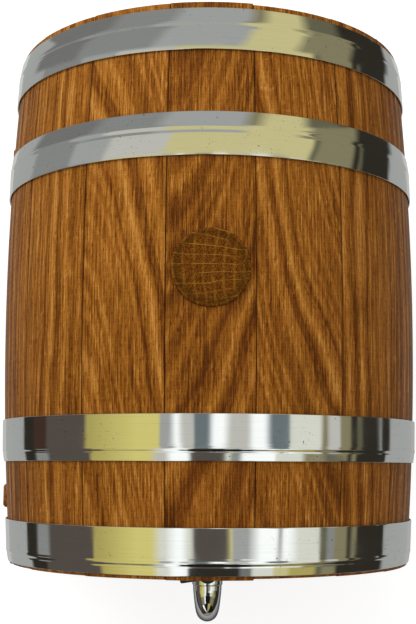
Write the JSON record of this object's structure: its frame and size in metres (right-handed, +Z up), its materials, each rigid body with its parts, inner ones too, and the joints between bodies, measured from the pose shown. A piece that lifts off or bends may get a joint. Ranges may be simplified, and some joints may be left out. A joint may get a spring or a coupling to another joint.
{
  "type": "oak cask liquor dispenser",
  "caption": "Small oak cask lying bung-up on a cradle stand, with polished steel hoops, a wooden bung and a chrome quarter-turn tap with a curved spout.",
  "frame": {"origin": "on the table, under the middle of the overall length and width", "axes": "+Z up; the cask's axis runs along Y and the tap points along -Y; +X is to the right for someone facing the rear from the tap's end"},
  "size_m": [0.281, 0.3658, 0.3071],
  "materials": {
    "stave_oak": "oiled, golden brown oak with the grain along the cask",
    "head_oak": "planed and oiled oak with vertical grain",
    "stand_oak": "oiled oak",
    "dowel_wood": "plain hardwood",
    "bung_wood": "end grain, oiled, olive brown",
    "hoop_steel": "stainless steel strip, polished, with fine lengthwise lines",
    "rivet_steel": "stainless steel, hammered round heads",
    "tap_chrome": "chrome plated brass, polished",
    "nut_brass": "turned brass",
    "gasket_rubber": "soft black rubber",
    "seat_plastic": "white low-friction plastic",
    "handle_black": "black coated, satin",
    "fastener_steel": "zinc plated steel"
  },
  "bodies": {
    "stand": {"front_saddle": "stand_oak", "rear_saddle": "stand_oak", "left_rail": "stand_oak", "right_rail": "stand_oak", "stand_screws": "fastener_steel"},
    "cask": {"bung_stave": "stave_oak", "stave_02": "stave_oak", "stave_03": "stave_oak", "stave_04": "stave_oak", "stave_05": "stave_oak", "stave_06": "stave_oak", "stave_07": "stave_oak", "stave_08": "stave_oak", "stave_09": "stave_oak", "stave_10": "stave_oak", "stave_11": "stave_oak", "stave_12": "stave_oak", "stave_13": "stave_oak", "stave_14": "stave_oak", "stave_15": "stave_oak", "stave_16": "stave_oak", "front_head_board_1": "head_oak", "front_head_board_2": "head_oak", "front_head_board_3": "head_oak", "front_head_board_4": "head_oak", "front_head_board_5": "head_oak", "rear_head_board_1": "head_oak", "rear_head_board_2": "head_oak", "rear_head_board_3": "head_oak", "rear_head_board_4": "head_oak", "rear_head_board_5": "head_oak", "front_head_dowels": "dowel_wood", "rear_head_dowels": "dowel_wood", "front_head_hoop": "hoop_steel", "front_bilge_hoop": "hoop_steel", "rear_bilge_hoop": "hoop_steel", "rear_head_hoop": "hoop_steel", "hoop_rivets": "rivet_steel", "tap_body": "tap_chrome", "tap_spout": "tap_chrome", "tap_outer_gasket": "gasket_rubber", "tap_inner_gasket": "gasket_rubber", "tap_back_nut": "nut_brass", "valve_seats": "seat_plastic", "stem_packing": "seat_plastic", "packing_nut": "tap_chrome"},
    "bung": {"bung": "bung_wood"},
    "valve": {"valve_ball": "tap_chrome", "valve_stem": "nut_brass", "tap_handle": "handle_black", "handle_nut": "fastener_steel"}
  },
  "joints": [
    {"name": "cask_lift", "type": "slide", "parent": "stand", "child": "cask", "axis": [0, 0, 1], "range_m": [0, 0.12]},
    {"name": "bung_pull", "type": "slide", "parent": "cask", "child": "bung", "axis": [0, 0, 1], "range_m": [0, 0.05]},
    {"name": "tap_turn", "type": "hinge", "parent": "cask", "child": "valve", "pos_m": [0.0016, -0.1459, 0.107], "axis": [0, 0, 1], "range_deg": [-8.4, 81.6]}
  ]
}
